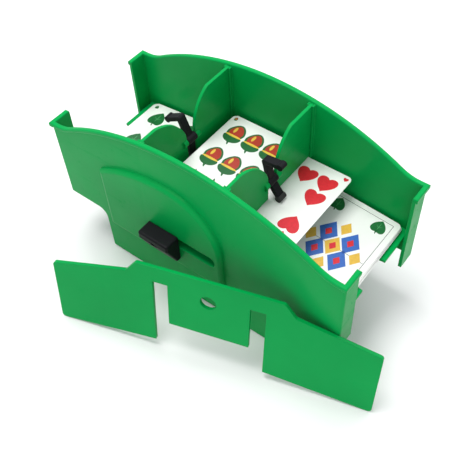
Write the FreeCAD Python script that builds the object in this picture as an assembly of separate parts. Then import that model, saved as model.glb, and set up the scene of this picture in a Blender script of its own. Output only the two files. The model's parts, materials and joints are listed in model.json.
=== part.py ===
"""Hand-worked playing card shuffler with its adapter plate.

A long open trough stands on a pedestal.  The deck lies on a raised platform between two gates.  A grip
on the front wall drives a carriage whose rubber pads reach through the platform and drag the lowest
card out under a gate, past a hanging lever, onto one of the two lower trays.

Millimetres, +Z up.  The origin is the middle of the rest face under the base, +X runs along the trough
and -Y is the side with the grip.
"""
import FreeCAD, Part
import math
import os

from FreeCAD import Vector

# Playing cards
card_length = 91.0
card_width = 59.0
card_thick = 0.3
card_corner = 4.0
deck_count = 24
left_count = 12
right_count = 14
card_gap = 0.05              # between a card and what it lies on
dealt_out = 45.5             # how far the lowest card has been dragged out
left_packet_in = 7.6         # from a tray's outer edge to the packet lying on it
right_packet_in = 4.5

# Trough
trough_length = 254.0
trough_width = 102.0
wall = 2.5
rim_mid_height = 150.0
rim_end_height = 118.0
rim_end_flat = 5.0
rim_blend = 30.0
rim_bead_height = 3.6
rim_bead_proud = 1.3
rim_bead_round = 1.2
shelf_height = 44.0          # underside of the wall ends that stand out past the pedestal
shelf_fillet = 8.0
pedestal_length = 176.0
return_depth = 14.0          # inward flange at each wall end
corner_round = 2.0

# Raised field on the outside of each wall, around the grip
field_proud = 4.0
field_round = 3.6
field_crown = Vector(-14.0, 0.0, rim_mid_height - 32.0)
field_left_length = 66.0
field_left_drop = 20.0
field_radius = 46.0
field_bottom = 38.0

# Base
mat_thick = 1.5
mat_inset = 6.0
wall_lift = 1.0              # walls end this far above the table
base_thick = 3.0
slip = 0.3                   # gap between pieces that drop into each other

# Platform and trays
platform_height = 96.0
platform_thick = 2.4
gate_x = 36.0                # middle plane of each gate
housing_wall = 2.4
tray_step = 20.0             # from the platform down to a tray, at the gate
tray_fall = 7.0              # from there to the tray's outer edge
tray_thick = 2.2
tray_set_back = 5.0          # from the trough's end to the tray's outer edge
tray_lip_depth = 6.0
finger_notch_radius = 15.0
ledge_depth = 3.0
ledge_thick = 2.5

# Gates
wing_thick = 2.4
gate_gap = 10.0              # open middle between the two wings of a gate
wing_slit = 0.9              # height left for one card under the wings
wing_below_rim = 2.0
wing_knee_share = 0.62       # how far along its run a wing's curve is set
wing_curve_lift = 4.2        # how far a wing's curve bows out above the straight line down to its post
front_wing_flat = 15.0
back_wing_flat = 26.0
wing_post_rise = 7.0         # straight post above the lever's pivot
channel_rib = 1.4
channel_depth = 2.5

# Gate levers
pivot_rise = 15.0            # above the platform
pin_radius = 1.2
pin_clearance = 0.05
boss_radius = 3.2
boss_length = 4.0
lever_width = 6.0
hub_radius = 3.4
lever_bar = 3.4
lever_top_rise = 17.0        # from the pivot up to the bend
lever_bend_shift = 7.0
head_reach = 11.0
head_drop = 6.0
hub_play = 0.3               # each side of the hub, between the posts
leg_length = 14.5
shoe_radius = 2.6
shoe_width = 7.0
lever_notch_play = 0.3       # between a hanging shoe and the notch that stops it
lever_notch_width = 9.0

# Feed
rest_x = -20.0               # carriage at the left end of its travel
stroke = 40.0
carriage_length = 22.0
carriage_width = 78.0
carriage_height = 12.0
rail_radius = 2.0
rail_y = 30.0
rail_depth = 28.0            # below the platform
rail_clearance = 0.05
pad_y = 20.0
pad_width = 10.0
pad_length = 18.0
pad_thick = 3.0
pad_below_card = 0.1
slot_margin = 1.5
stem_height = 7.0
stem_length = 10.0
stem_below_rail = 2.0
grip_length = 28.0
grip_height = 25.0
grip_reach = 12.4
grip_face_share = 0.24       # of the grip's height that its outer face takes
grip_toe_share = 0.3         # of the grip's reach that is left at its lower edge
grip_round = 1.6
grip_bore_play = 0.15
grip_above_stem = 4.0
grip_gap = 0.6               # between the grip and the wall's raised field
grip_floor = 4.0             # thickness of the grip under its screw's head
grip_screw_radius = 1.5
grip_screw_length = 14.0
grip_screw_play = 0.05
pad_corner = 1.5

# Screws
screw_radius = 1.3
screw_pilot = 1.35
screw_hole = 1.6
screw_head_radius = 2.8
screw_head_height = 1.6
screw_head_sunk = 0.75       # share of a head's height that lies within the mat
drive_half_width = 0.4
drive_depth = 0.6
screw_length = 12.0
boss_size = 8.0
boss_height = 18.0
wall_boss_x = 72.0
housing_boss_y = 38.0

# Adapter plate
adapter_half_length = 122.0
adapter_thick = 2.8
adapter_middle_rise = 22.0   # underside of the middle lobe above the outer lobes
adapter_toe_drop = 7.0       # outer lobes fall this much towards their ends
adapter_end_height = 58.0
adapter_shoulder_height = 71.5
adapter_shoulder_x = 62.0
adapter_top_height = 82.0
adapter_top_half = 54.0
adapter_corner = 3.0
adapter_slot_width = 11.4
adapter_slot_height = 68.0
adapter_hole_radius = 6.0
adapter_hole_height = 62.0
adapter_yaw = 17.0
adapter_lean = 10.0          # it leans back against the end of the front wall
adapter_from_end = 83.5      # from the trough's right end to the adapter's middle
adapter_stand_off = 38.8     # from the front wall's face to the middle of the adapter's foot

# Derived sizes
half_length = trough_length / 2
tray_reach = half_length - tray_set_back
tray_gate_height = platform_height - tray_step
pivot_height = platform_height + pivot_rise
wing_post_height = pivot_height + wing_post_rise
rail_height = platform_height - rail_depth
stem_level = rail_height - stem_below_rail
half_width = trough_width / 2
inner_y = half_width - wall
pedestal_half = pedestal_length / 2
base_top = mat_thick + base_thick
card_floor = platform_height + card_gap
card_top = card_floor + card_thick
open_angle = math.degrees(math.acos((pivot_height - shoe_radius - card_gap * 2 - card_top) / leg_length))
wing_bottom = platform_height + wing_slit
tray_start = gate_x + housing_wall / 2 + slip
tray_slope = tray_fall / (tray_reach - gate_x)
tray_angle = math.degrees(math.atan(tray_slope))
rim_depth = rim_mid_height - rim_end_height
blend_x = half_length - rim_end_flat
crown_radius = (blend_x ** 2 + rim_depth ** 2) / (2 * rim_depth) - rim_blend
SIDES = {"front": -1, "back": 1}
ENDS = {"left": -1, "right": 1}


def box(x0, x1, y0, y1, z0, z1):
    """Box between two opposite corners, given in any order."""
    corner = Vector(min(x0, x1), min(y0, y1), min(z0, z1))
    return Part.makeBox(abs(x1 - x0), abs(y1 - y0), abs(z1 - z0), corner)


def rod(start, direction, radius, length):
    return Part.makeCylinder(radius, length, start, direction)


def slab_xz(edges, y0, y1):
    """Closed outline in an XZ plane, given as edges at y = 0, made into a slab from y0 to y1."""
    face = Part.Face(Part.Wire(Part.__sortEdges__(edges)))
    face.translate(Vector(0, min(y0, y1), 0))
    return face.extrude(Vector(0, abs(y1 - y0), 0))


def slab_yz(edges, x0, x1):
    """Closed outline in a YZ plane, given as edges at x = 0, made into a slab from x0 to x1."""
    face = Part.Face(Part.Wire(Part.__sortEdges__(edges)))
    face.translate(Vector(min(x0, x1), 0, 0))
    return face.extrude(Vector(abs(x1 - x0), 0, 0))


def line(a, b):
    return Part.LineSegment(a, b).toShape()


def arc(a, middle, b):
    return Part.Arc(a, middle, b).toShape()


def closed_polygon(points):
    """Straight edges from each point to the next, and from the last back to the first."""
    return [line(a, b) for a, b in zip(points, points[1:] + points[:1])]


def round_edges(shape, radius, wanted):
    """Fillet the edges that `wanted` picks."""
    return shape.makeFillet(radius, [edge for edge in shape.Edges if wanted(edge)])


def is_vertical(edge):
    box_of_edge = edge.BoundBox
    return box_of_edge.XLength < 0.01 and box_of_edge.YLength < 0.01


def is_along_z_at(edge, x, y):
    place = edge.BoundBox
    return is_vertical(edge) and abs(place.XMin - x) < 0.01 and abs(place.YMin - y) < 0.01


def tray_height(x):
    """Top of a tray's floor at a distance along the trough."""
    return tray_gate_height - tray_slope * (abs(x) - gate_x)


def rim_height(x):
    """Height of the rim's crown arc."""
    return rim_mid_height - crown_radius + math.sqrt(crown_radius ** 2 - x ** 2)


# Trough walls

def rim_points():
    """Right half of the rim: end of the flat, middle and end of the blend, then the top."""
    crown_centre = Vector(0, 0, rim_mid_height - crown_radius)
    blend_centre = Vector(blend_x, 0, rim_end_height + rim_blend)
    towards_crown = (crown_centre - blend_centre).normalize()
    bisector = (towards_crown + Vector(0, 0, -1)).normalize()
    return (Vector(blend_x, 0, rim_end_height), blend_centre + bisector * rim_blend,
            blend_centre + towards_crown * rim_blend, Vector(0, 0, rim_mid_height))


def mirrored(point):
    return Vector(-point.x, point.y, point.z)


def rim_edges(drop=0.0):
    """The rim from the right end to the left end, lowered by `drop`."""
    flat, blend, tangent, top = rim_points()
    end = Vector(half_length, 0, rim_end_height)
    edges = [line(end, flat), arc(flat, blend, tangent), arc(tangent, top, mirrored(tangent)),
             arc(mirrored(tangent), mirrored(blend), mirrored(flat)), line(mirrored(flat), mirrored(end))]
    return [edge.translated(Vector(0, 0, -drop)) for edge in edges]


def pedestal_edges(end_height):
    """Ends and underside of a wall from the left to the right: shelf, pedestal, shelf."""
    edges = []
    middle = shelf_fillet * (1 - math.sqrt(0.5))
    foot_x = pedestal_half
    for side in (-1, 1):
        corner = Vector(side * half_length, 0, shelf_height)
        fillet_end = Vector(side * (foot_x + shelf_fillet), 0, shelf_height)
        fillet_mid = Vector(side * (foot_x + middle), 0, shelf_height - middle)
        fillet_foot = Vector(side * foot_x, 0, shelf_height - shelf_fillet)
        foot = Vector(side * foot_x, 0, wall_lift)
        end = Vector(side * half_length, 0, end_height)
        edges += [line(end, corner), line(corner, fillet_end), arc(fillet_end, fillet_mid, fillet_foot),
                  line(fillet_foot, foot)]
    edges.append(line(Vector(-foot_x, 0, wall_lift), Vector(foot_x, 0, wall_lift)))
    return edges


def rim_bead(side):
    """Rounded bead along the top of a long wall."""
    ends = [line(Vector(end * half_length, 0, rim_end_height),
                 Vector(end * half_length, 0, rim_end_height - rim_bead_height)) for end in (-1, 1)]
    bead = slab_xz(rim_edges() + rim_edges(rim_bead_height) + ends,
                   side * (half_width + rim_bead_proud), side * inner_y)
    return round_edges(bead, rim_bead_round, lambda edge: edge.BoundBox.ZMin > rim_end_height - 0.01
                       and edge.BoundBox.YLength < 0.01)


def return_bead(side, end):
    """The same bead round a wall's corner and along its end return."""
    bead = box(end * (half_length - wall), end * (half_length + rim_bead_proud),
               side * (half_width + rim_bead_proud), side * (inner_y - return_depth),
               rim_end_height - rim_bead_height, rim_end_height)
    return round_edges(bead, rim_bead_round, lambda edge: edge.BoundBox.ZMin > rim_end_height - 0.01)


def raised_field(y0, y1):
    """Arched field around the grip: its ridge climbs gently from the left and turns down on the right."""
    left_radius = (field_left_length ** 2 + field_left_drop ** 2) / (2 * field_left_drop)
    half_angle = math.asin(field_left_length / left_radius) / 2
    left = field_crown + Vector(-field_left_length, 0, -field_left_drop)
    left_mid = field_crown + Vector(-left_radius * math.sin(half_angle), 0,
                                    -left_radius * (1 - math.cos(half_angle)))
    right = field_crown + Vector(field_radius, 0, -field_radius)
    diagonal = field_radius * math.sqrt(0.5)
    right_mid = field_crown + Vector(diagonal, 0, diagonal - field_radius)
    foot_right = Vector(right.x, 0, field_bottom)
    foot_left = Vector(left.x, 0, field_bottom)
    edges = [arc(left, left_mid, field_crown), arc(field_crown, right_mid, right), line(right, foot_right),
             line(foot_right, foot_left), line(foot_left, left)]
    field = slab_xz(edges, y0, y1)
    outer = min(y0, y1)
    return round_edges(field, field_round, lambda edge: edge.BoundBox.YMax < outer + 0.01)


def tray_ledge(end, y0, y1):
    """Sloping ledge under one edge of a tray."""
    inner_x, outer_x = end * (tray_start + tray_lip_depth), end * (tray_reach - wall)
    top = [Vector(x, 0, tray_height(x) - tray_thick) for x in (inner_x, outer_x)]
    bottom = [Vector(point.x, 0, point.z - ledge_thick) for point in reversed(top)]
    return slab_xz(closed_polygon(top + bottom), y0, y1)


def grip_slot_half():
    """Half length of the slot in the front wall, measured from the middle of the trough."""
    return stroke / 2 + stem_length / 2 + slot_margin


def trough_wall(side):
    """One long wall with its rim bead, end returns, raised field, wing channels, ledges and bosses."""
    outer, inner = side * half_width, side * inner_y
    under_bead = rim_bead_height / 2
    shape = slab_xz(rim_edges(under_bead) + pedestal_edges(rim_end_height - under_bead), outer, inner)
    pieces = [rim_bead(side)]
    for end in (-1, 1):
        face = end * half_length
        pieces.append(return_bead(side, end))
        pieces.append(box(face, face - end * wall, inner, inner - side * return_depth,
                          shelf_height, rim_end_height - under_bead))
        pieces.append(tray_ledge(end, inner, inner - side * ledge_depth))
        channel_top = rim_height(gate_x) - wing_below_rim
        for offset in (-1, 1):
            rib_x = end * gate_x + offset * (wing_thick / 2 + slip / 2 + channel_rib / 2)
            pieces.append(box(rib_x - channel_rib / 2, rib_x + channel_rib / 2, inner,
                              inner - side * channel_depth, platform_height + slip, channel_top))
        boss_x = end * wall_boss_x
        pieces.append(box(boss_x - boss_size / 2, boss_x + boss_size / 2, inner,
                          inner - side * boss_size, base_top, base_top + boss_height))
    shape = shape.multiFuse(pieces).removeSplitter()
    shape = round_edges(shape, corner_round, lambda edge: any(
        is_along_z_at(edge, end * half_length, outer) for end in (-1, 1)))
    field = raised_field(-half_width - field_proud, -half_width)
    if side > 0:
        field.rotate(Vector(0, 0, 0), Vector(0, 0, 1), 180)
    shape = shape.fuse(field).removeSplitter()
    for end in (-1, 1):
        start = Vector(end * wall_boss_x, wall_screw_y(side), base_top)
        shape = shape.cut(rod(start, Vector(0, 0, 1), screw_pilot, screw_length))
    if side < 0:
        half = grip_slot_half()
        level, height = stem_level, stem_height / 2 + slot_margin
        slot = box(-half, half, outer - field_proud - wall, inner + wall, level - height, level + height)
        slot = round_edges(slot, height * 0.9, lambda edge: edge.BoundBox.YLength > wall * 2)
        shape = shape.cut(slot)
    return shape


def wall_screw_y(side):
    return side * (inner_y - boss_size / 2)


# Base

def base_plate():
    """Plate between the walls, drilled for the screws that hold the walls and the housing."""
    reach = inner_y - slip
    plate = box(-pedestal_half, pedestal_half, -reach, reach, mat_thick, base_top)
    plate = round_edges(plate, corner_round, is_vertical)
    for x, y in screw_places():
        plate = plate.cut(rod(Vector(x, y, 0), Vector(0, 0, 1), screw_hole, base_top + 1))
    return plate


def base_mat():
    """Non-slip rubber mat under the base plate, with a hole for each screw head."""
    mat = box(-pedestal_half + mat_inset, pedestal_half - mat_inset, -inner_y + mat_inset / 2,
              inner_y - mat_inset / 2, 0, mat_thick)
    mat = round_edges(mat, corner_round * 2, is_vertical)
    for x, y in screw_places():
        mat = mat.cut(rod(Vector(x, y, -1), Vector(0, 0, 1), screw_head_radius + slip, mat_thick + 2))
    return mat


def wall_screw_places():
    return [(end * wall_boss_x, wall_screw_y(side)) for end in (-1, 1) for side in (-1, 1)]


def housing_screw_places():
    x = gate_x + housing_wall / 2 + boss_size / 2
    return [(end * x, side * housing_boss_y) for end in (-1, 1) for side in (-1, 1)]


def screw_places():
    return wall_screw_places() + housing_screw_places()


def pan_screw(x, y):
    """Screw driven up through the base plate, its pan head in the mat's hole."""
    head_base = mat_thick - screw_head_height * screw_head_sunk
    head = rod(Vector(x, y, head_base), Vector(0, 0, 1), screw_head_radius, mat_thick - head_base)
    shank = rod(Vector(x, y, mat_thick), Vector(0, 0, 1), screw_radius, screw_length)
    drive = box(x - screw_head_radius, x + screw_head_radius, y - drive_half_width, y + drive_half_width,
                head_base, head_base + drive_depth)
    return head.fuse(shank).cut(drive)


# Platform housing and trays

def slot_box(side, grow=0.0):
    """Space above a pad's travel, in the platform's top."""
    reach = stroke / 2 + pad_length / 2 + slot_margin + grow
    half = pad_width / 2 + slot_margin + grow
    return box(-reach, reach, side * pad_y - half, side * pad_y + half,
               platform_height - platform_thick - 1, platform_height + 1)


def centre_platform():
    """Raised platform on two cross walls that stand on the base plate and hold the rails."""
    outer = gate_x + housing_wall / 2
    reach = inner_y - slip
    shape = box(-outer, outer, -reach, reach, base_top, platform_height)
    hollow = box(-outer + housing_wall, outer - housing_wall, -reach - 1, reach + 1,
                 base_top - 1, platform_height - platform_thick)
    shape = shape.cut(hollow)
    bosses = []
    for x, y in housing_screw_places():
        inner_x = math.copysign(outer - housing_wall / 2, x)
        bosses.append(box(inner_x, x + math.copysign(boss_size / 2, x), y - boss_size / 2,
                          y + boss_size / 2, base_top, base_top + boss_height))
    shape = shape.multiFuse(bosses).removeSplitter()
    cuts = [slot_box(side) for side in (-1, 1)]
    for end in (-1, 1):
        edge = end * outer
        notch_x = end * (gate_x - shoe_radius - lever_notch_play)
        cuts.append(box(edge + end, notch_x, -lever_notch_width / 2, lever_notch_width / 2,
                        platform_height - shoe_radius * 4, platform_height + 1))
    for side in (-1, 1):
        cuts.append(rod(Vector(-outer - 1, side * rail_y, rail_height), Vector(1, 0, 0),
                        rail_radius, outer * 2 + 2))
    for x, y in housing_screw_places():
        cuts.append(rod(Vector(x, y, base_top - 1), Vector(0, 0, 1), screw_pilot, screw_length + 1))
    for cut in cuts:
        shape = shape.cut(cut)
    return shape


def tray(end):
    """Sloping tray with a lip at the gate and a finger notch in its outer edge."""
    reach = inner_y - slip
    xs = (end * tray_start, end * tray_reach)
    top = [Vector(x, 0, tray_height(x)) for x in xs]
    bottom = [Vector(x, 0, tray_height(x) - tray_thick) for x in reversed(xs)]
    floor = slab_xz(closed_polygon(top + bottom), -reach, reach)
    lip_z = tray_height(xs[0]) - tray_thick
    lip = box(xs[0], xs[0] + end * tray_thick, -reach + ledge_depth, reach - ledge_depth,
              lip_z - tray_lip_depth, lip_z + 0.5)
    shape = floor.fuse(lip).removeSplitter()
    notch = rod(Vector(end * tray_reach, 0, 0), Vector(0, 0, 1), finger_notch_radius, platform_height)
    shape = shape.cut(notch)
    for side in (-1, 1):
        shape = shape.cut(box(end * (half_length + 1), end * (half_length - wall - slip), side * reach,
                              side * (inner_y - return_depth - slip), 0, platform_height))
    return shape


# Gates

def gate_wing(end, side, flat):
    """Half of a gate: level top beside the wall, a round shoulder, a sloping curve and a straight post."""
    top = rim_height(gate_x) - wing_below_rim
    shoulder_y = inner_y - flat
    post_y = gate_gap / 2
    drop_start = Vector(0, shoulder_y, top)
    post_top = Vector(0, post_y, wing_post_height)
    run = shoulder_y - post_y
    knee = Vector(0, shoulder_y - run * wing_knee_share, (top + wing_post_height) / 2 + wing_curve_lift)
    points = [Vector(0, inner_y, wing_bottom), Vector(0, inner_y, top)]
    edges = [line(points[0], points[1]), line(points[1], drop_start), arc(drop_start, knee, post_top),
             line(post_top, Vector(0, post_y, wing_bottom)),
             line(Vector(0, post_y, wing_bottom), points[0])]
    x = end * gate_x
    shape = slab_yz(edges, x - wing_thick / 2, x + wing_thick / 2)
    boss = rod(Vector(x, post_y, pivot_height), Vector(0, 1, 0), boss_radius, boss_length)
    shape = shape.fuse(boss).removeSplitter()
    bore = rod(Vector(x, post_y - 1, pivot_height), Vector(0, 1, 0), pin_radius, boss_length)
    shape = shape.cut(bore)
    if side < 0:
        shape = shape.mirror(Vector(0, 0, 0), Vector(0, 1, 0))
    return shape


def lever_pin(end):
    length = gate_gap + 2 * (boss_length - 1)
    return rod(Vector(end * gate_x, -length / 2, pivot_height), Vector(0, 1, 0), pin_radius, length)


def bar_between(a, b, width, thickness):
    """Bar with round ends from a to b in the plane y = 0."""
    along = (b - a).normalize()
    across = Vector(-along.z, 0, along.x) * (thickness / 2)
    edges = [line(a + across, b + across), arc(b + across, b + along * (thickness / 2), b - across),
             line(b - across, a - across), arc(a - across, a - along * (thickness / 2), a + across)]
    return slab_xz(edges, -width / 2, width / 2)


def swing(shape, end, angle):
    """Turn a piece about its gate's pivot so that its lower end goes outwards."""
    shape.rotate(Vector(end * gate_x, 0, pivot_height), Vector(0, -end, 0), angle)
    return shape


def gate_lever(end, angle):
    """Hanging lever: hub on the pin, leg down to the shoe, neck up to a head that bends outwards."""
    pivot = Vector(end * gate_x, 0, pivot_height)
    bend = pivot + Vector(end * lever_bend_shift, 0, lever_top_rise)
    head = bend + Vector(end * head_reach, 0, -head_drop)
    foot = pivot - Vector(0, 0, leg_length)
    hub_width = gate_gap - 2 * hub_play
    hub = rod(pivot - Vector(0, hub_width / 2, 0), Vector(0, 1, 0), hub_radius, hub_width)
    shape = hub.multiFuse([bar_between(pivot, foot, lever_width, lever_bar),
                           bar_between(pivot, bend, lever_width, lever_bar),
                           bar_between(bend, head, lever_width, lever_bar)]).removeSplitter()
    tip = rod(head - Vector(0, lever_width / 2, 0), Vector(0, 1, 0), lever_bar * 0.75, lever_width)
    shape = shape.fuse(tip).removeSplitter()
    shape = shape.cut(rod(pivot - Vector(0, lever_width, 0), Vector(0, 1, 0),
                          pin_radius + pin_clearance, lever_width * 2))
    return swing(shape, end, angle)


def lever_shoe(end, angle):
    """Soft round shoe, pushed over the foot of a lever."""
    foot = Vector(end * gate_x, 0, pivot_height - leg_length)
    shoe = rod(foot - Vector(0, shoe_width / 2, 0), Vector(0, 1, 0), shoe_radius, shoe_width)
    return swing(shoe, end, angle).cut(gate_lever(end, angle))


# Feed

def feed_carriage():
    """Block on the two rails, with two towers for the pads and a stem out through the front wall."""
    x0, x1 = rest_x - carriage_length / 2, rest_x + carriage_length / 2
    low, high = rail_height - carriage_height / 2, rail_height + carriage_height / 2
    shape = box(x0, x1, -carriage_width / 2, carriage_width / 2, low, high)
    tower_top = platform_height - pad_below_card - pad_thick
    pieces = []
    for side in (-1, 1):
        y = side * pad_y
        pieces.append(box(rest_x - pad_length / 2, rest_x + pad_length / 2, y - pad_width / 2,
                          y + pad_width / 2, high, tower_top))
    pieces.append(box(rest_x - stem_length / 2, rest_x + stem_length / 2, -carriage_width / 2,
                      -half_width - field_proud - grip_gap, stem_level - stem_height / 2,
                      stem_level + stem_height / 2))
    shape = shape.multiFuse(pieces).removeSplitter()
    for side in (-1, 1):
        shape = shape.cut(rod(Vector(x0 - 1, side * rail_y, rail_height), Vector(1, 0, 0),
                              rail_radius + rail_clearance, carriage_length + 2))
    window = box(x0 + 4, x1 - 4, -pad_y / 2, pad_y / 2, low - 1, high + 1)
    shape = shape.cut(window)
    pilot = rod(Vector(rest_x, -half_width, stem_level), Vector(0, 1, 0), grip_screw_radius,
                grip_screw_length)
    pilot.translate(Vector(0, -field_proud - grip_gap, 0))
    return shape.cut(pilot)


def feed_pads():
    """Two rubber pads on the carriage's towers."""
    pads = []
    for side in (-1, 1):
        y = side * pad_y
        pad = box(rest_x - pad_length / 2, rest_x + pad_length / 2, y - pad_width / 2, y + pad_width / 2,
                  platform_height - pad_below_card - pad_thick, platform_height - pad_below_card)
        pads.append(round_edges(pad, pad_corner, is_vertical))
    return Part.makeCompound(pads)


def rail(side):
    """Steel rod along the housing, flush with the outside of both cross walls."""
    outer = gate_x + housing_wall / 2
    return rod(Vector(-outer, side * rail_y, rail_height), Vector(1, 0, 0), rail_radius, outer * 2)


def side_grip():
    """Wedge-shaped grip: level thumb rest on top, tapering back to the wall underneath."""
    back = -half_width - field_proud - grip_gap
    top = stem_level + stem_height / 2 + grip_above_stem
    bottom = top - grip_height
    outline = [Vector(0, back, top), Vector(0, back - grip_reach, top),
               Vector(0, back - grip_reach, top - grip_height * grip_face_share),
               Vector(0, back - grip_reach * grip_toe_share, bottom), Vector(0, back, bottom)]
    shape = slab_yz(closed_polygon(outline), rest_x - grip_length / 2, rest_x + grip_length / 2)
    shape = round_edges(shape, grip_round, lambda edge: edge.BoundBox.YMin < back - 0.5)
    bore = rod(Vector(rest_x, back + 1, stem_level), Vector(0, -1, 0), grip_screw_radius + grip_bore_play,
               grip_reach + 2)
    sink = rod(Vector(rest_x, back - grip_floor, stem_level), Vector(0, -1, 0), screw_head_radius + slip,
               grip_reach)
    return shape.cut(bore).cut(sink)


def grip_screw():
    """Screw that holds the grip to the stem, its head at the bottom of the grip's well."""
    seat = -half_width - field_proud - grip_gap - grip_floor
    head = rod(Vector(rest_x, seat, stem_level), Vector(0, -1, 0), screw_head_radius, screw_head_height)
    shank = rod(Vector(rest_x, seat, stem_level), Vector(0, 1, 0), grip_screw_radius - grip_screw_play,
                grip_screw_length)
    drive = box(rest_x - screw_head_radius, rest_x + screw_head_radius, seat - screw_head_height - 1,
                seat - screw_head_height + drive_depth,
                stem_level - drive_half_width, stem_level + drive_half_width)
    return head.fuse(shank).cut(drive)


# Adapter plate and cards

def adapter_plate():
    """Liner for narrower cards, leant against the shuffler: three lobes, two slots and a hole."""
    toe = adapter_toe_drop
    slot_in = gate_x - adapter_slot_width / 2
    slot_out = gate_x + adapter_slot_width / 2
    half = [Vector(0, 0, toe + adapter_middle_rise), Vector(slot_in, 0, toe + adapter_middle_rise),
            Vector(slot_in, 0, adapter_slot_height), Vector(slot_out, 0, adapter_slot_height),
            Vector(slot_out, 0, toe), Vector(adapter_half_length, 0, 0),
            Vector(adapter_half_length, 0, adapter_end_height),
            Vector(adapter_shoulder_x, 0, adapter_shoulder_height),
            Vector(adapter_top_half, 0, adapter_top_height), Vector(0, 0, adapter_top_height)]
    edges = closed_polygon(half + [mirrored(point) for point in reversed(half[1:-1])])
    shape = slab_xz(edges, -adapter_thick / 2, adapter_thick / 2)
    ends = (adapter_half_length, adapter_shoulder_x, adapter_top_half)
    shape = round_edges(shape, adapter_corner, lambda edge: edge.BoundBox.YLength > adapter_thick / 2
                        and any(abs(abs(edge.BoundBox.XMin) - x) < 0.01 for x in ends))
    shape = shape.cut(rod(Vector(0, -adapter_thick, adapter_hole_height), Vector(0, 1, 0),
                          adapter_hole_radius, adapter_thick * 2))
    shape.rotate(Vector(0, 0, 0), Vector(1, 0, 0), -adapter_lean)
    shape.translate(Vector(0, 0, -shape.BoundBox.ZMin))
    shape.rotate(Vector(0, 0, 0), Vector(0, 0, 1), adapter_yaw)
    shape.translate(Vector(half_length - adapter_from_end, -half_width - adapter_stand_off, 0))
    return shape


def card_stack(x0, z0, count):
    """Squared packet of cards lying across the trough, its left edge at x0."""
    stack = box(x0, x0 + card_width, -card_length / 2, card_length / 2, z0, z0 + count * card_thick)
    return round_edges(stack, card_corner, is_vertical)


def tray_packet(end, set_in, count):
    """Packet lying on a sloping tray, its outer edge set in from the tray's."""
    middle_x = end * (tray_reach - set_in - card_width / 2)
    stack = card_stack(middle_x - card_width / 2, card_gap, count)
    stack.rotate(Vector(middle_x, 0, 0), Vector(0, end, 0), tray_angle)
    stack.translate(Vector(0, 0, tray_height(middle_x)))
    return stack


def nodes():
    """Every named piece of the assembly."""
    found = {"base_plate": base_plate(), "base_mat": base_mat(), "centre_platform": centre_platform()}
    angles = {"left": 0.0, "right": open_angle}
    flats = {"front": front_wing_flat, "back": back_wing_flat}
    for side_name, side in SIDES.items():
        found[side_name + "_wall"] = trough_wall(side)
        found[side_name + "_rail"] = rail(side)
    for end_name, end in ENDS.items():
        found[end_name + "_tray"] = tray(end)
        found[end_name + "_lever_pin"] = lever_pin(end)
        found[end_name + "_gate_lever"] = gate_lever(end, angles[end_name])
        found[end_name + "_lever_shoe"] = lever_shoe(end, angles[end_name])
        for side_name, side in SIDES.items():
            found[end_name + "_gate_" + side_name + "_wing"] = gate_wing(end, side, flats[side_name])
    found["feed_carriage"] = feed_carriage()
    found["feed_pads"] = feed_pads()
    found["side_grip"] = side_grip()
    found["grip_screw"] = grip_screw()
    found["wall_screws"] = Part.makeCompound([pan_screw(x, y) for x, y in wall_screw_places()])
    found["housing_screws"] = Part.makeCompound([pan_screw(x, y) for x, y in housing_screw_places()])
    found["adapter_plate"] = adapter_plate()
    found["dealt_card"] = card_stack(dealt_out - card_width / 2, card_floor, 1)
    found["centre_deck"] = card_stack(-card_width / 2, card_top + card_gap, deck_count)
    found["left_packet"] = tray_packet(-1, left_packet_in, left_count)
    found["right_packet"] = tray_packet(1, right_packet_in, right_count)
    return found


os.makedirs("parts", exist_ok=True)
for name, shape in sorted(nodes().items()):
    shape.exportStep("parts/" + name + ".step")
    print(name, len(shape.Solids), round(shape.Volume, 1), shape.isValid())
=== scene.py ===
"""Finishes, playing cards and studio for a hand-worked card shuffler."""

import json
import math
import random

import bmesh
import bpy
from mathutils import Matrix, Vector


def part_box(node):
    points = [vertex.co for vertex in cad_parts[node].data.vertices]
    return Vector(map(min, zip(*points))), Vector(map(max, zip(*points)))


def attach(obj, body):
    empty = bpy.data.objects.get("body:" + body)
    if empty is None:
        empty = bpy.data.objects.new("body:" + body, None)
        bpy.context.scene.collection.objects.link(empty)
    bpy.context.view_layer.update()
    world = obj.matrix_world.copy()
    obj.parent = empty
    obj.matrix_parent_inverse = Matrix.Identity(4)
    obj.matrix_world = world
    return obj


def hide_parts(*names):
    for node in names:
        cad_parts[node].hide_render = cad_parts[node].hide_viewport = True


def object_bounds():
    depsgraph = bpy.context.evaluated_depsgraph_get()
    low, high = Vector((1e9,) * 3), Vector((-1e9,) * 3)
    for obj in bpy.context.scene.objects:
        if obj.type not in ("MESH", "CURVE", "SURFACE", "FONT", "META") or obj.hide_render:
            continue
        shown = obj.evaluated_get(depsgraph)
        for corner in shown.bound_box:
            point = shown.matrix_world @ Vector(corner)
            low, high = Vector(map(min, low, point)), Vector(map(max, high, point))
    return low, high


bl_info = {
    "name": "Card Shuffler Looks",
    "version": (1, 0, 0),
    "blender": (4, 5, 0),
    "location": "View3D > Sidebar > Shuffler",
    "description": "Finishes, playing cards and studio for a hand-worked card shuffler",
    "category": "Object",
}

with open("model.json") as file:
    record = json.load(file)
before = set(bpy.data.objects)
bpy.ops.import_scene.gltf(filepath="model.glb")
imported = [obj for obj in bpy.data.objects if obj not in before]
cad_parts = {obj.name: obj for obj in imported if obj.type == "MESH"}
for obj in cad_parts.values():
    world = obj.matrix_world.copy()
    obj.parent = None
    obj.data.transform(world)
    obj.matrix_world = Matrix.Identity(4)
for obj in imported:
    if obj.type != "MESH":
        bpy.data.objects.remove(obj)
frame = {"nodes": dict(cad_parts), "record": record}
cad_box = [list(corner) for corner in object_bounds()]
slot_colours = {row["slot"]: row["base_color"] for row in frame["record"]["materials"]}

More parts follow.
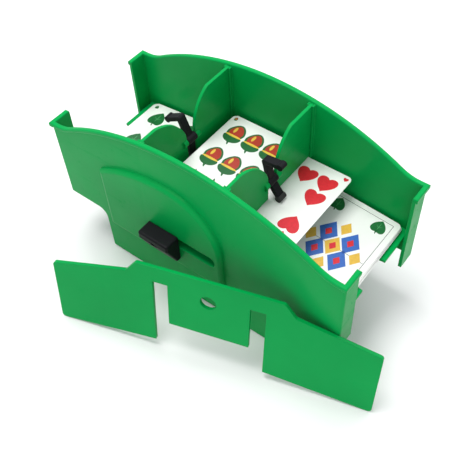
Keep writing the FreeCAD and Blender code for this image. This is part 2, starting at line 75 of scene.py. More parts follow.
GREEN_MOULDINGS = (
    "front_wall", "back_wall", "centre_platform", "left_tray", "right_tray", "base_plate",
    "left_gate_front_wing", "left_gate_back_wing", "right_gate_front_wing", "right_gate_back_wing",
    "adapter_plate",
)
BLACK_MOULDINGS = ("side_grip", "left_gate_lever", "right_gate_lever", "feed_carriage")
RUBBER_PARTS = ("feed_pads", "base_mat", "left_lever_shoe", "right_lever_shoe")
STEEL_ALONG = {
    "front_rail": "X", "back_rail": "X", "left_lever_pin": "Y", "right_lever_pin": "Y",
    "wall_screws": "Z", "housing_screws": "Z", "grip_screw": "Y",
}

MM = 0.001
SINK_HALF_WIDTH = 2.2 * MM
gate_centre = sum(corner.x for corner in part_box("right_gate_front_wing")) / 2

# Hairline scratches in two directions: their stretch along x, y and z, and their lean in radians.
HAIRLINES = (((260.0, 14.0, 260.0), 0.5), ((14.0, 260.0, 200.0), -0.3))
FLOW_STRETCH = (30.0, 12.0, 4.0)
FIBRE_STRETCH = (1.0, 1.0, 9.0)
SCRATCH_ALONG, SCRATCH_ACROSS = 40.0, 2400.0
LINEN_SCALE = 420.0
LATTICE_SCALE = 420.0

# Inks that only the printed patterns use.
SHINE_COLOUR = (0.75, 0.5, 0.06)
BLUE_COLOUR = (0.03, 0.12, 0.45)
GOLD_COLOUR = (0.7, 0.42, 0.05)
LINE_COLOUR = (0.03, 0.03, 0.03)
VEIN_BASE, VEIN_LIFT = 0.06, 2.2

# Sizes and places of the printing, in millimetres from a card's middle.
ACORN_SIZE, ACORN_COLUMN, ACORN_ROW = 23.0, 16.5, 27.5
PIP_SIZE = 15.5
HEART_COLUMN, HEART_TOP_ROW, HEART_LOW_ROW = 16.5, 30.0, 14.0
LEAF_COLUMN, LEAF_TOP_ROW, LEAF_LOW_ROW = 15.5, 29.0, 15.0
FRAMED_LEAF_SIZE, FRAMED_LEAF_PLACE = 12.0, (17.0, 33.0)
INDEX_PLACE = (25.8, 41.6)
ACORN_INDEX_SIZE, INDEX_SIZE = 4.2, 3.8
FRAME_HALVES = (25.0, 41.0)
MIDLINE_LENGTH, LINE_WIDTH = 49.0, 0.35
LOZENGE_STEP, LOZENGE_REACH = 9.0, 18.0
BLUE_LOZENGE, GOLD_LOZENGE, RED_LOZENGE = (15.0, 21.0), (9.0, 13.0), (5.5, 8.0)
MIDDLE_LOZENGE = (13.0, 18.0)

# Each light's place from the shuffler's middle and its width, in metres.
LIGHTS = {
    "key": ((-0.3, 0.0, 1.25), 0.7),
    "fill": ((0.75, -1.0, 0.55), 1.1),
    "rim": ((0.2, 1.1, 0.7), 0.8),
}
ROOM_COLOUR = (0.95, 0.97, 1.0)
FLOOR_HALF_WIDTH = 12.0
SENSOR_WIDTH = 36.0


class Signal:
    """One output of a finish's nodes, which takes part in ordinary arithmetic."""

    def __init__(self, finish, socket):
        self.finish = finish
        self.socket = socket

    def maths(self, operation, first, second):
        return self.finish.node("ShaderNodeMath", {"operation": operation}, {0: first, 1: second})

    def __add__(self, other):
        return self.maths("ADD", self, other)

    def __mul__(self, other):
        return self.maths("MULTIPLY", self, other)

    def __sub__(self, other):
        return self.maths("SUBTRACT", self, other)

    def __rsub__(self, other):
        return self.maths("SUBTRACT", other, self)

    def __pow__(self, other):
        return self.maths("POWER", self, other)

    def __rpow__(self, other):
        return self.maths("POWER", other, self)

    __radd__ = __add__
    __rmul__ = __mul__


class Finish:
    """A material being made: its Principled shader and the nodes that feed it."""

    def __init__(self, name):
        self.material = bpy.data.materials.new(name)
        self.material.use_nodes = True
        self.tree = self.material.node_tree
        self.shader = self.tree.nodes["Principled BSDF"]

    def feed(self, socket, value):
        if isinstance(value, Signal):
            self.tree.links.new(value.socket, socket)
        else:
            socket.default_value = value

    def node(self, kind, settings, sockets, output=0):
        """A node of any kind: its settings first, then the values or links of its sockets."""
        made = self.tree.nodes.new(kind)
        for name, value in settings.items():
            if name == "stops":
                for place, height in value:
                    made.color_ramp.elements.new(place).color = (height, height, height, 1.0)
                made.color_ramp.elements.remove(made.color_ramp.elements[0])
                made.color_ramp.elements.remove(made.color_ramp.elements[-1])
            else:
                setattr(made, name, value)
        for name, value in sockets.items():
            self.feed(made.inputs[name], value)
        return Signal(self, made.outputs[output])

    def place(self, stretch=(1.0, 1.0, 1.0)):
        """Object coordinates, stretched along the axes."""
        spot = self.node("ShaderNodeTexCoord", {}, {}, "Object")
        return self.node("ShaderNodeMapping", {}, {"Vector": spot, "Scale": stretch})

    def noise(self, spot, scale, detail):
        sockets = {"Vector": spot, "Scale": scale, "Detail": detail}
        return self.node("ShaderNodeTexNoise", {}, sockets, "Fac")

    def blend(self, share, first, second):
        """Mix two colours."""
        return self.node("ShaderNodeMix", {"data_type": "RGBA"}, {0: share, 6: first, 7: second}, 2)

    def ramp(self, share, low, high):
        """Nought up to low, one from high, and straight between them."""
        return self.node("ShaderNodeValToRGB", {"stops": ((low, 0.0), (high, 1.0))}, {"Fac": share})

    def soft_edges(self, radius):
        """A normal that rolls over the part's edges, as a moulding's do, and how much it does."""
        rolled = self.node("ShaderNodeBevel", {"samples": 6}, {"Radius": radius})
        flat = self.node("ShaderNodeNewGeometry", {}, {}, "Normal")
        alike = self.node(
            "ShaderNodeVectorMath", {"operation": "DOT_PRODUCT"}, {0: rolled, 1: flat}, "Value")
        return rolled, 1.0 - alike

    def bump(self, height, depth, strength, normal=None):
        sockets = {"Height": height, "Distance": depth, "Strength": strength}
        if normal is not None:
            sockets["Normal"] = normal
        return self.node("ShaderNodeBump", {}, sockets)

    def shade(self, **sockets):
        """Set or feed the shader's own sockets, base_color for its Base Color."""
        for name, value in sockets.items():
            title = name.replace("_", " ").title().replace("Ior", "IOR")
            self.feed(self.shader.inputs[title], value)
        return self.material


def tint(colour, lift=1.0):
    """An opaque colour, lighter or darker."""
    return (*(min(1.0, part * lift) for part in colour), 1.0)


def coat(names, material):
    """Give CAD parts a finish."""
    for name in names:
        slots = frame["nodes"][name].material_slots
        if not slots:
            raise RuntimeError(f"{name} has no material slot")
        for slot in slots:
            slot.material = material


def sink_marks(finish, spot):
    """Faint hollows in the outside of the walls, opposite the gates that join them inside."""
    across = finish.node("ShaderNodeSeparateXYZ", {}, {0: spot}, "X")
    off_gate = across.maths("ABSOLUTE", across, 0.0) - gate_centre
    return math.e ** ((off_gate * (1.0 / SINK_HALF_WIDTH)) ** 2.0 * -1.0)


def hairlines(finish, spot):
    """Sparse short scratches from cards and fingers, in two directions."""
    marks = []
    for stretch, lean in HAIRLINES:
        sockets = {"Vector": spot, "Rotation": (lean, lean, lean), "Scale": stretch}
        leaning = finish.node("ShaderNodeMapping", {}, sockets)
        marks.append(finish.ramp(finish.noise(leaning, scale=1.0, detail=1.0), low=0.66, high=0.74))
    return marks[0] + marks[1]


def moulded_plastic(name, colour, gloss, edge_radius, scuff_and_highlight):
    """Moulded plastic: flow clouds, fine grain, hairlines, handled patches, and paler edges that
    are partly rubbed wear and partly a painted highlight.
    """
    finish = Finish(name)
    spot = finish.place()
    sunk = sink_marks(finish, spot)
    scratched = hairlines(finish, spot)
    clouds = finish.noise(spot, scale=16.0, detail=3.0)
    patches = finish.ramp(finish.noise(spot, scale=42.0, detail=4.0), low=0.42, high=0.68)
    grain = finish.noise(spot, scale=2600.0, detail=1.0)
    flow = finish.noise(finish.place(FLOW_STRETCH), scale=1.6, detail=2.0)
    rolled, edge = finish.soft_edges(edge_radius)
    # Edges painted paler: partly rubbed wear, partly a painted highlight where light rolls over the
    # moulding's edges.
    worn_and_highlit_edges = finish.ramp(edge, low=0.02, high=0.3) * (0.35 + 0.65 * patches) * scuff_and_highlight
    body = finish.blend(clouds, tint(colour, 0.84), tint(colour, 1.16))
    paler = tint([0.9 * part + 0.02 for part in colour], 1.5)
    relief = grain * 0.3 + flow * 0.8 - sunk * 1.4 - scratched * 0.25
    return finish.shade(
        base_color=finish.blend(worn_and_highlit_edges, body, paler),
        roughness=gloss + 0.09 * patches + 0.05 * grain + 0.12 * scratched,
        specular_ior_level=0.07,
        normal=finish.bump(relief, depth=0.09 * MM, strength=0.4, normal=rolled),
    )


def rubber(name, colour):
    """Matte moulded rubber with a pebbled face, a little dust and a painted highlight along its
    edges.
    """
    finish = Finish(name)
    spot = finish.place()
    pebbles = finish.node("ShaderNodeTexVoronoi", {}, {"Vector": spot, "Scale": 900.0}, "Distance")
    dust = finish.ramp(finish.noise(spot, scale=70.0, detail=5.0), low=0.5, high=0.75)
    rolled, edge = finish.soft_edges(0.5 * MM)
    return finish.shade(
        # Paler where the dust lies, and paler along the edges as a painted highlight.
        base_color=finish.blend(dust * 0.5 + edge * 0.6, tint(colour), tint(colour, 3.2)),
        roughness=0.78 + 0.12 * dust,
        normal=finish.bump(pebbles, depth=0.1 * MM, strength=0.5, normal=rolled),
    )


def drawn_steel(name, colour, along):
    """Drawn steel with fine scratches that run along a rod."""
    finish = Finish(name)
    stretch = tuple(SCRATCH_ALONG if axis == along else SCRATCH_ACROSS for axis in "XYZ")
    scratches = finish.noise(finish.place(stretch), scale=1.0, detail=3.0)
    blotches = finish.noise(finish.place(), scale=120.0, detail=3.0)
    rolled, edge = finish.soft_edges(0.3 * MM)
    shade = scratches * 0.6 + blotches * 0.4
    return finish.shade(
        base_color=finish.blend(shade, tint(colour, 0.72), tint(colour, 1.15)),
        metallic=1.0,
        roughness=0.24 + 0.16 * scratches + 0.1 * edge,
        normal=finish.bump(scratches, depth=0.02 * MM, strength=0.4, normal=rolled),
    )


def card_face(name, colour):
    """Coated card with the fine linen pressing of playing cards."""
    finish = Finish(name)
    spot = finish.place()
    sockets = {"Vector": spot, "Scale": LINEN_SCALE}
    weft, warp = (
        finish.node("ShaderNodeTexWave", {"bands_direction": axis}, sockets) for axis in "XY")
    age = finish.noise(spot, scale=55.0, detail=4.0)
    return finish.shade(
        base_color=finish.blend(age, tint(colour, 0.93), tint(colour, 1.04)),
        roughness=0.34 + 0.12 * age,
        coat_weight=0.2,
        coat_roughness=0.2,
        normal=finish.bump(weft + warp, depth=0.02 * MM, strength=0.3),
    )


def card_edge(name, colour):
    """Cut edges of card: slightly grey and fibrous, and painted darker still as shade between the
    cards.
    """
    finish = Finish(name)
    fibres = finish.noise(finish.place(FIBRE_STRETCH), scale=700.0, detail=4.0)
    return finish.shade(
        # Darker than the card's white: the grey of cut card, and painted shade between the stacked
        # cards.
        base_color=finish.blend(fibres, tint(colour, 0.66), tint(colour, 0.95)),
        roughness=0.7,
        normal=finish.bump(fibres, depth=0.04 * MM, strength=0.5),
    )


def card_back(name, colour, ground):
    """Card back with a plain lattice."""
    finish = Finish(name)
    sockets = {"Vector": finish.place(), "Rotation": (0.0, 0.0, math.radians(45.0))}
    turned = finish.node("ShaderNodeMapping", {}, sockets)
    lattice = finish.node(
        "ShaderNodeTexChecker", {}, {"Vector": turned, "Scale": LATTICE_SCALE}, "Fac")
    wear = finish.noise(finish.place(), scale=90.0, detail=4.0)
    return finish.shade(
        base_color=finish.blend(lattice * 0.8 + wear * 0.2, tint(colour), tint(ground)),
        roughness=0.36 + 0.1 * wear,
        coat_weight=0.2,
        coat_roughness=0.2,
    )


def printing_ink(name, colour):
    """A pip's ink on coated card, a little uneven as it is laid down."""
    finish = Finish(name)
    mottle = finish.noise(finish.place(), scale=480.0, detail=3.0)
    return finish.shade(
        base_color=finish.blend(mottle, tint(colour, 0.82), tint(colour, 1.18)),
        roughness=0.3 + 0.12 * mottle,
        coat_weight=0.08,
        coat_roughness=0.15,
    )


def studio_surface(name, colour):
    """Pale matte floor."""
    return Finish(name).shade(base_color=tint(colour), roughness=0.85)


def lying(node):
    """The bottom middle of a card stack as a matrix, its own x across and y along, and its size."""
    mesh = frame["nodes"][node].data
    top = max(mesh.polygons, key=lambda face: face.area if face.normal.z > 0.0 else 0.0)
    along = Vector((0.0, 1.0, 0.0))
    turn = Matrix((along.cross(top.normal), along, top.normal)).transposed()
    corners = [turn.transposed() @ vertex.co for vertex in mesh.vertices]
    low = Vector([min(corner[i] for corner in corners) for i in range(3)])
    high = Vector([max(corner[i] for corner in corners) for i in range(3)])
    foot = turn @ Vector(((low.x + high.x) / 2, (low.y + high.y) / 2, low.z))
    return Matrix.Translation(foot) @ turn.to_4x4(), high - low


def thicken(sheet, height):
    """Raise a flat sheet's faces into a slab whose faces point outwards."""
    raised = bmesh.ops.extrude_face_region(sheet, geom=sheet.faces[:])["geom"]
    lifted = [part for part in raised if isinstance(part, bmesh.types.BMVert)]
    bmesh.ops.translate(sheet, vec=(0.0, 0.0, height), verts=lifted)
    bmesh.ops.recalc_face_normals(sheet, faces=sheet.faces[:])


def finished_mesh(name, sheet):
    """Close a bmesh into a mesh."""
    mesh = bpy.data.meshes.new(name)
    sheet.to_mesh(mesh)
    sheet.free()
    return mesh


def blank_card(size, thick, corner):
    """One card: face up on its own origin, rounded corners, slots 0 face, 1 back, 2 edge."""
    sheet = bmesh.new()
    made = bmesh.ops.create_grid(sheet, x_segments=1, y_segments=1, size=0.5)["verts"]
    bmesh.ops.scale(sheet, vec=(size.x, size.y, 1.0), verts=made)
    bmesh.ops.bevel(
        sheet, geom=made, affect="VERTICES", offset=corner, segments=5, profile=0.5, material=-1)
    thicken(sheet, thick)
    for face in sheet.faces:
        face.material_index = 0 if face.normal.z > 0.5 else 1 if face.normal.z < -0.5 else 2
    return finished_mesh("blank_card", sheet)


def pour(stack, mesh, place, slot=None):
    """Add a mesh to a bmesh at a place, all in one material slot if one is given."""
    vertex_count, face_count = len(stack.verts), len(stack.faces)
    stack.from_mesh(mesh)
    stack.verts.ensure_lookup_table()
    stack.faces.ensure_lookup_table()
    bmesh.ops.transform(stack, matrix=place, verts=stack.verts[vertex_count:])
    if slot is not None:
        for face in stack.faces[face_count:]:
            face.material_index = slot


def printed_slab(outline):
    """A thin slab one unit tall, whose round outline is pushed into a shape."""
    sheet = bmesh.new()
    bmesh.ops.create_circle(sheet, cap_ends=True, radius=1.0, segments=32)
    for vertex in sheet.verts:
        vertex.co.x, vertex.co.y = outline(vertex.co.x, vertex.co.y)
    thicken(sheet, 1.0)
    return finished_mesh(outline.__name__, sheet)


# Each outline takes a point of the unit circle to a point of a shape about one unit wide.


def heart_outline(x, y):
    """Two lobes above a point."""
    return 0.5 * x, 0.46 * (y * 0.92 + 0.62 * abs(x) ** 0.7) - 0.09


def leaf_outline(x, y):
    """A pointed top above two lobes."""
    return 0.46 * x, 0.46 * (y * 0.98 - 0.5 * abs(x) ** 0.8) + 0.16


def vein_outline(x, y):
    """A leaf's middle vein."""
    return 0.018 * x, 0.3 * y + 0.12


def side_vein_outline(x, y):
    """Two veins that rise from the middle one."""
    return 0.2 * x, 0.016 * y + 0.16 * abs(x) + 0.02


def stalk_outline(x, y):
    """A short bent stalk."""
    return 0.045 * x + 0.05 * y * y, 0.2 * y - 0.3


def shell_outline(x, y):
    """An acorn's dark rim, narrower at the top."""
    return 0.32 * x * (1.0 - 0.2 * max(y, 0.0)), 0.37 * y + 0.1


def nut_outline(x, y):
    """The acorn inside its rim."""
    return 0.25 * x * (1.0 - 0.25 * max(y, 0.0)), 0.3 * y + 0.11


def cup_outline(x, y):
    """The cup that an acorn sits in, flatter above."""
    return 0.33 * x, 0.26 * y * (1.0 if y < 0.0 else 0.3) - 0.13


def brim_outline(x, y):
    """The bright band where the acorn meets its cup."""
    return 0.31 * x, 0.045 * y - 0.07


def shine_outline(x, y):
    """A highlight on the acorn's left."""
    return 0.05 * x - 0.09, 0.13 * y + 0.19


def rule_outline(x, y):
    """A straight-sided oblong with barely rounded corners."""
    return tuple(
        0.5 * math.copysign(abs(part) ** 0.04, part) if abs(part) > 0.01 else 0.0
        for part in (x, y))


def lozenge_outline(x, y):
    """A square on its point."""
    whole = abs(x) + abs(y)
    return 0.5 * x / whole, 0.5 * y / whole


# What each pip is printed from: an ink, an outline and how many layers of ink lie under it.
PIPS = {
    "heart": (("red_ink", heart_outline, 0),),
    "leaf": (
        ("leaf_ink", leaf_outline, 0), ("leaf_ink", stalk_outline, 0),
        ("vein_ink", vein_outline, 1), ("vein_ink", side_vein_outline, 1),
    ),
    "acorn": (
        ("cup_ink", shell_outline, 0), ("nut_ink", nut_outline, 1), ("cup_ink", cup_outline, 2),
        ("shine_ink", brim_outline, 3), ("shine_ink", shine_outline, 3),
        ("cup_ink", stalk_outline, 0),
    ),
    "blue_lozenge": (("blue_ink", lozenge_outline, 1),),
    "gold_lozenge": (("gold_ink", lozenge_outline, 2),),
    "red_lozenge": (("red_ink", lozenge_outline, 3),),
    "rule": (("line_ink", rule_outline, 0),),
}


def pair(x, y):
    """Two places, one on each side of a card's middle."""
    return (-x, y), (x, y)


def trio(x, y):
    """Three places in a row across a card."""
    return (-x, y), (0.0, y), (x, y)


def pips(kind, spots, width, height=None):
    """Upright pips: kind, place, turn, width and height."""
    return [(kind, x, y, 0.0, width, height or width) for x, y in spots]


def mirrored_pips(kind, spots, size):
    """Pips in a card's top half and the same ones turned round in its bottom half."""
    return pips(kind, spots, size) + [(kind, -x, -y, 180.0, size, size) for x, y in spots]


def ruled_frame(half_x, half_y, width):
    """Four thin printed lines round a card's picture."""
    upright = pips("rule", pair(half_x, 0.0), width, 2 * half_y)
    return upright + pips("rule", ((0.0, -half_y), (0.0, half_y)), 2 * half_x, width)


MIDDLE = ((0.0, 0.0),)
AROUND = pair(LOZENGE_STEP, LOZENGE_STEP) + pair(LOZENGE_STEP, -LOZENGE_STEP)
OUTER = ((0.0, LOZENGE_REACH), (0.0, -LOZENGE_REACH)) + pair(LOZENGE_REACH, 0.0)
CARD_PRINTS = {
    "centre_deck": (
        *mirrored_pips("acorn", trio(ACORN_COLUMN, ACORN_ROW), ACORN_SIZE),
        *pips("acorn", trio(ACORN_COLUMN, 0.0), ACORN_SIZE),
        *mirrored_pips("acorn", pair(*INDEX_PLACE), ACORN_INDEX_SIZE),
    ),
    "dealt_card": (
        *mirrored_pips(
            "heart", trio(HEART_COLUMN, HEART_TOP_ROW) + pair(HEART_COLUMN, HEART_LOW_ROW),
            PIP_SIZE),
        *mirrored_pips("heart", pair(*INDEX_PLACE), INDEX_SIZE),
    ),
    "left_packet": (
        *mirrored_pips("leaf", (*pair(LEAF_COLUMN, LEAF_TOP_ROW), (0.0, LEAF_LOW_ROW)), PIP_SIZE),
        *pips("leaf", pair(LEAF_COLUMN, 0.0), PIP_SIZE),
        *mirrored_pips("leaf", pair(*INDEX_PLACE), INDEX_SIZE),
    ),
    "right_packet": (
        *mirrored_pips("leaf", pair(*FRAMED_LEAF_PLACE), FRAMED_LEAF_SIZE),
        *ruled_frame(*FRAME_HALVES, LINE_WIDTH),
        *pips("blue_lozenge", AROUND, *BLUE_LOZENGE),
        *pips("gold_lozenge", OUTER, *GOLD_LOZENGE),
        *pips("gold_lozenge", MIDDLE, *MIDDLE_LOZENGE),
        *pips("red_lozenge", AROUND + MIDDLE, *RED_LOZENGE),
        *pips("rule", MIDDLE, MIDLINE_LENGTH, LINE_WIDTH),
    ),
}


def card_materials(finishes):
    """The finishes that every card piece carries, made once."""
    inks = {
        "red_ink": finishes.heart_colour,
        "leaf_ink": finishes.leaf_colour,
        "vein_ink": [VEIN_BASE + VEIN_LIFT * part for part in finishes.leaf_colour],
        "nut_ink": finishes.nut_colour,
        "cup_ink": finishes.cup_colour,
        "shine_ink": SHINE_COLOUR,
        "blue_ink": BLUE_COLOUR,
        "gold_ink": GOLD_COLOUR,
        "line_ink": LINE_COLOUR,
    }
    if "card_face" not in bpy.data.materials:
        card_face("card_face", finishes.card_colour)
        card_back("card_back", finishes.back_colour, finishes.card_colour)
        card_edge("card_edge", finishes.card_colour)
        for name, colour in inks.items():
            printing_ink(name, colour)
    names = ("card_face", "card_back", "card_edge", *inks)
    return {name: bpy.data.materials[name] for name in names}


def stacked_cards(node, body, count, slip, twist, settings, finishes):
    """Lay separate cards where a CAD stack is, the top one printed, riding on its body."""
    place, size = lying(node)
    pitch = size.z / count
    thick = pitch * settings.card_share
    blank = blank_card(size, thick, settings.corner_radius)
    palette = card_materials(finishes)
    slots = list(palette)
    chance = random.Random(settings.seed + count)
    stack = bmesh.new()
    for level in range(count):
        slide = Vector((chance.uniform(-slip, slip), chance.uniform(-slip, slip), level * pitch))
        turn = Matrix.Rotation(chance.uniform(-twist, twist), 4, "Z")
        top_card = place @ Matrix.Translation(slide) @ turn
        pour(stack, blank, top_card)
    slabs = {}
    for kind, x, y, turn, width, height in CARD_PRINTS[node]:
        for ink, outline, layer in PIPS[kind]:
            if outline not in slabs:
                slabs[outline] = printed_slab(outline)
            ink_top = settings.ink_height * (1 + layer)
            printed = (
                top_card
                @ Matrix.Translation(Vector((x * MM, y * MM, thick)))
                @ Matrix.Rotation(math.radians(turn), 4, "Z")
                @ Matrix.Diagonal((width * MM, height * MM, ink_top, 1.0))
            )
            pour(stack, slabs[outline], printed, slots.index(ink))
    mesh = finished_mesh(f"{node}_cards", stack)
    for used in (blank, *slabs.values()):
        bpy.data.meshes.remove(used)
    for material in palette.values():
        mesh.materials.append(material)
    piece = bpy.data.objects.new(f"{node}_cards", mesh)
    bpy.context.scene.collection.objects.link(piece)
    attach(piece, body)
    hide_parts(node)


class ShufflerFinishes(bpy.types.PropertyGroup):
    """Colours of the shuffler's parts and cards."""

    housing_colour: bpy.props.FloatVectorProperty(
        name="Housing", description="Green of the walls, gates, trays and adapter plate",
        subtype="COLOR", size=3, min=0.0, max=1.0, default=(0.001, 0.315, 0.066))
    fitting_colour: bpy.props.FloatVectorProperty(
        name="Fittings", description="Black of the levers, the side grip and the carriage",
        subtype="COLOR", size=3, min=0.0, max=1.0, default=slot_colours["black_plastic"])
    rubber_colour: bpy.props.FloatVectorProperty(
        name="Rubber", description="Black of the feed pads, the lever shoes and the base mat",
        subtype="COLOR", size=3, min=0.0, max=1.0, default=slot_colours["black_rubber"])
    steel_colour: bpy.props.FloatVectorProperty(
        name="Steel", description="Grey of the rails, pins and screws",
        subtype="COLOR", size=3, min=0.0, max=1.0, default=slot_colours["steel"])
    card_colour: bpy.props.FloatVectorProperty(
        name="Card", description="White of the playing cards",
        subtype="COLOR", size=3, min=0.0, max=1.0, default=slot_colours["card_stock"])
    back_colour: bpy.props.FloatVectorProperty(
        name="Card back", description="Ink of the lattice on the cards' backs",
        subtype="COLOR", size=3, min=0.0, max=1.0, default=(0.05, 0.1, 0.32))
    heart_colour: bpy.props.FloatVectorProperty(
        name="Hearts", description="Ink of the hearts",
        subtype="COLOR", size=3, min=0.0, max=1.0, default=(0.62, 0.012, 0.025))
    leaf_colour: bpy.props.FloatVectorProperty(
        name="Leaves", description="Ink of the leaves",
        subtype="COLOR", size=3, min=0.0, max=1.0, default=(0.008, 0.13, 0.03))
    nut_colour: bpy.props.FloatVectorProperty(
        name="Acorns", description="Ink of the acorns",
        subtype="COLOR", size=3, min=0.0, max=1.0, default=(0.42, 0.035, 0.02))
    cup_colour: bpy.props.FloatVectorProperty(
        name="Acorn cups", description="Ink of the acorns' cups and stalks",
        subtype="COLOR", size=3, min=0.0, max=1.0, default=(0.012, 0.12, 0.03))
    edge_radius: bpy.props.FloatProperty(
        name="Soft edge", description="Radius of the light that rolls over a moulding's edges",
        unit="LENGTH", min=0.0, default=0.0007)


class ShufflerCards(bpy.types.PropertyGroup):
    """How the playing cards are cut and how neatly they lie."""

    corner_radius: bpy.props.FloatProperty(
        name="Corner radius", description="Radius of a card's corners",
        unit="LENGTH", min=0.0, default=0.0036)
    card_share: bpy.props.FloatProperty(
        name="Card share", description="Share of the spacing between cards that is card",
        min=0.1, max=1.0, default=0.86)
    ink_height: bpy.props.FloatProperty(
        name="Ink height", description="How far the printing stands on a card",
        unit="LENGTH", min=0.0, default=0.00002)
    deck_count: bpy.props.IntProperty(
        name="Deck", description="Cards on the middle platform", min=1, default=24)
    left_count: bpy.props.IntProperty(
        name="Left packet", description="Cards on the left tray", min=1, default=12)
    right_count: bpy.props.IntProperty(
        name="Right packet", description="Cards on the right tray", min=1, default=14)
    deck_slip: bpy.props.FloatProperty(
        name="Deck slip", description="How far a card of the deck may lie off its place",
        unit="LENGTH", min=0.0, default=0.00035)
    packet_slip: bpy.props.FloatProperty(
        name="Packet slip", description="How far a dealt card may lie off its place",
        unit="LENGTH", min=0.0, default=0.0011)
    packet_twist: bpy.props.FloatProperty(
        name="Packet twist", description="How far a dealt card may be turned",
        subtype="ANGLE", unit="ROTATION", min=0.0, default=0.012)
    seed: bpy.props.IntProperty(
        name="Seed", description="Which arrangement of slipped cards is laid", min=0, default=7)


class ShufflerStudio(bpy.types.PropertyGroup):
    """Camera, lights and floor."""

    turn: bpy.props.FloatProperty(
        name="Turn", description="Camera's angle round the shuffler from its grip side",
        subtype="ANGLE", unit="ROTATION", default=math.radians(41.0785))
    rise: bpy.props.FloatProperty(
        name="Rise", description="Camera's angle above the table",
        subtype="ANGLE", unit="ROTATION", default=math.radians(50.4613))
    roll: bpy.props.FloatProperty(
        name="Roll", description="Camera's tilt about its own line of sight",
        subtype="ANGLE", unit="ROTATION", default=math.radians(-4.3299))
    camera_place: bpy.props.FloatVectorProperty(
        name="Camera place", description="Where the camera stands",
        subtype="TRANSLATION", unit="LENGTH", size=3, default=(0.2351, -0.2799, 0.4806))
    focal_length: bpy.props.FloatProperty(
        name="Focal length", description="Camera's focal length on a 36 mm sensor, in millimetres",
        min=10.0, default=58.6)
    floor_colour: bpy.props.FloatVectorProperty(
        name="Floor", description="Pale colour of the floor",
        subtype="COLOR", size=3, min=0.0, max=1.0, default=(0.86, 0.86, 0.85))
    key_power: bpy.props.FloatProperty(
        name="Key light", description="Power of the large light above, in watts",
        min=0.0, default=14.0)
    fill_power: bpy.props.FloatProperty(
        name="Fill light", description="Power of the light from the front, in watts",
        min=0.0, default=2.0)
    rim_power: bpy.props.FloatProperty(
        name="Rim light", description="Power of the light from behind, in watts",
        min=0.0, default=4.0)
    sky: bpy.props.FloatProperty(
        name="Room light", description="Brightness of the room all round", min=0.0, default=0.74)


class SHUFFLER_OT_housing(bpy.types.Operator):
    """Give the walls, gates, trays, base and adapter plate their green plastic"""

    bl_idname = "shuffler.housing"
    bl_label = "Housing finish"

    def execute(self, context):
        finishes = context.scene.shuffler_finishes
        coat(GREEN_MOULDINGS, moulded_plastic(
            "green_plastic_finish", finishes.housing_colour,
            gloss=0.27, edge_radius=finishes.edge_radius, scuff_and_highlight=0.55))
        return {"FINISHED"}


class SHUFFLER_OT_fittings(bpy.types.Operator):
    """Give the levers, the side grip and the carriage their black plastic"""

    bl_idname = "shuffler.fittings"
    bl_label = "Black fittings finish"

    def execute(self, context):
        finishes = context.scene.shuffler_finishes
        coat(BLACK_MOULDINGS, moulded_plastic(
            "black_plastic_finish", finishes.fitting_colour,
            gloss=0.33, edge_radius=finishes.edge_radius, scuff_and_highlight=0.3))
        return {"FINISHED"}


class SHUFFLER_OT_rubber(bpy.types.Operator):
    """Give the feed pads, lever shoes and base mat their rubber"""

    bl_idname = "shuffler.rubber"
    bl_label = "Rubber finish"

    def execute(self, context):
        finishes = context.scene.shuffler_finishes
        coat(RUBBER_PARTS, rubber("black_rubber_finish", finishes.rubber_colour))
        return {"FINISHED"}


class SHUFFLER_OT_steel(bpy.types.Operator):
    """Give the rails, pins and screws their drawn steel"""

    bl_idname = "shuffler.steel"
    bl_label = "Steel finish"

    def execute(self, context):
        colour = context.scene.shuffler_finishes.steel_colour
        for along in sorted(set(STEEL_ALONG.values())):
            parts = [name for name, axis in STEEL_ALONG.items() if axis == along]
            coat(parts, drawn_steel(f"steel_finish_{along.lower()}", colour, along))
        return {"FINISHED"}


class SHUFFLER_OT_deck(bpy.types.Operator):
    """Lay the deck on the middle platform and draw out its lowest card"""

    bl_idname = "shuffler.deck"
    bl_label = "Deck and dealt card"

    def execute(self, context):
        cards, finishes = context.scene.shuffler_cards, context.scene.shuffler_finishes
        stacked_cards(
            "centre_deck", "deck", cards.deck_count, cards.deck_slip, 0.0, cards, finishes)
        stacked_cards("dealt_card", "dealt_cards", 1, 0.0, 0.0, cards, finishes)
        return {"FINISHED"}


class SHUFFLER_OT_packets(bpy.types.Operator):
    """Lay the two packets of dealt cards on the trays"""

    bl_idname = "shuffler.packets"
    bl_label = "Packets on the trays"

    def execute(self, context):
        cards, finishes = context.scene.shuffler_cards, context.scene.shuffler_finishes
        for node, body, count in (
            ("left_packet", "left_cards", cards.left_count),
            ("right_packet", "right_cards", cards.right_count),
        ):
            stacked_cards(node, body, count, cards.packet_slip, cards.packet_twist, cards, finishes)
        return {"FINISHED"}


def lay_floor(studio):
    """A pale floor that isn't part of the shuffler."""
    sheet = bmesh.new()
    bmesh.ops.create_grid(sheet, x_segments=8, y_segments=8, size=FLOOR_HALF_WIDTH)
    mesh = finished_mesh("floor", sheet)
    mesh.materials.append(studio_surface("floor_finish", studio.floor_colour))
    floor = bpy.data.objects.new("floor", mesh)
    bpy.context.scene.collection.objects.link(floor)


def hang_lights(studio):
    """Soft lights that face the shuffler's middle, and the room's own light."""
    middle = sum((Vector(corner) for corner in cad_box), Vector()) / 2
    for name, (offset, width) in LIGHTS.items():
        lamp = bpy.data.lights.new(f"{name}_light", "AREA")
        lamp.energy = getattr(studio, f"{name}_power")
        lamp.size = width
        light = bpy.data.objects.new(f"{name}_light", lamp)
        light.location = middle + Vector(offset)
        light.rotation_euler = (-Vector(offset)).to_track_quat("-Z", "Y").to_euler()
        bpy.context.scene.collection.objects.link(light)
    world = bpy.data.worlds.new("studio_room")
    world.use_nodes = True
    room = world.node_tree.nodes["Background"]
    room.inputs["Color"].default_value = tint(ROOM_COLOUR)
    room.inputs["Strength"].default_value = studio.sky
    bpy.context.scene.world = world
    bpy.context.scene.view_settings.view_transform = "Standard"


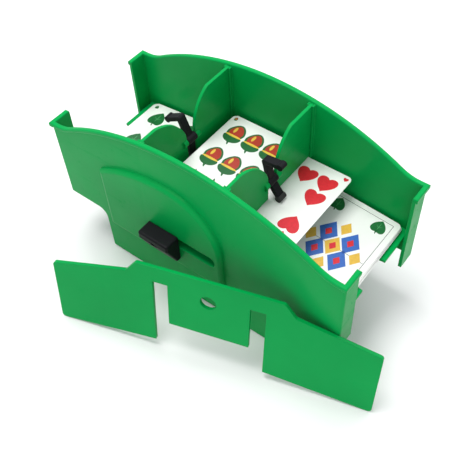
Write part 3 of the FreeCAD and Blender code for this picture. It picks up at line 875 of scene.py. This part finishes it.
def stand_camera(studio):
    """The camera, by its turn round the shuffler, its rise above the table and its roll."""
    back = Vector((
        math.sin(studio.turn) * math.cos(studio.rise),
        -math.cos(studio.turn) * math.cos(studio.rise),
        math.sin(studio.rise),
    ))
    level = Vector((math.cos(studio.turn), math.sin(studio.turn), 0.0))
    upright = back.cross(level)
    right = level * math.cos(studio.roll) + upright * math.sin(studio.roll)
    turn = Matrix((right, back.cross(right), back)).transposed()
    sight = bpy.data.cameras.new("camera")
    sight.lens = studio.focal_length
    sight.sensor_width = SENSOR_WIDTH
    camera = bpy.data.objects.new("camera", sight)
    camera.matrix_world = Matrix.Translation(Vector(studio.camera_place)) @ turn.to_4x4()
    bpy.context.scene.collection.objects.link(camera)
    bpy.context.scene.camera = camera


class SHUFFLER_OT_stage(bpy.types.Operator):
    """Set the floor, the soft lights and the camera"""

    bl_idname = "shuffler.stage"
    bl_label = "Stage"

    def execute(self, context):
        studio = context.scene.shuffler_studio
        lay_floor(studio)
        hang_lights(studio)
        stand_camera(studio)
        return {"FINISHED"}


OPERATORS = (
    SHUFFLER_OT_housing, SHUFFLER_OT_fittings, SHUFFLER_OT_rubber, SHUFFLER_OT_steel,
    SHUFFLER_OT_deck, SHUFFLER_OT_packets, SHUFFLER_OT_stage,
)
GROUPS = {
    "shuffler_finishes": ShufflerFinishes,
    "shuffler_cards": ShufflerCards,
    "shuffler_studio": ShufflerStudio,
}


class SHUFFLER_PT_panel(bpy.types.Panel):
    """Sizes, colours and pieces of the card shuffler"""

    bl_idname = "SHUFFLER_PT_panel"
    bl_label = "Card Shuffler"
    bl_space_type = "VIEW_3D"
    bl_region_type = "UI"
    bl_category = "Shuffler"

    def draw(self, context):
        for name in GROUPS:
            group = getattr(context.scene, name)
            box = self.layout.box()
            for prop in group.bl_rna.properties:
                if prop.identifier not in ("rna_type", "name"):
                    box.prop(group, prop.identifier)
        for operator in OPERATORS:
            self.layout.operator(operator.bl_idname)


def register():
    for made in (*GROUPS.values(), *OPERATORS, SHUFFLER_PT_panel):
        bpy.utils.register_class(made)
    for name, group in GROUPS.items():
        setattr(bpy.types.Scene, name, bpy.props.PointerProperty(type=group))


def unregister():
    for name in GROUPS:
        delattr(bpy.types.Scene, name)
    for made in reversed((*GROUPS.values(), *OPERATORS, SHUFFLER_PT_panel)):
        bpy.utils.unregister_class(made)


def main():
    register()
    bpy.ops.shuffler.stage()
    bpy.ops.shuffler.housing()
    bpy.ops.shuffler.fittings()
    bpy.ops.shuffler.rubber()
    bpy.ops.shuffler.steel()
    bpy.ops.shuffler.deck()
    bpy.ops.shuffler.packets()


if __name__ == "__main__":
    main()
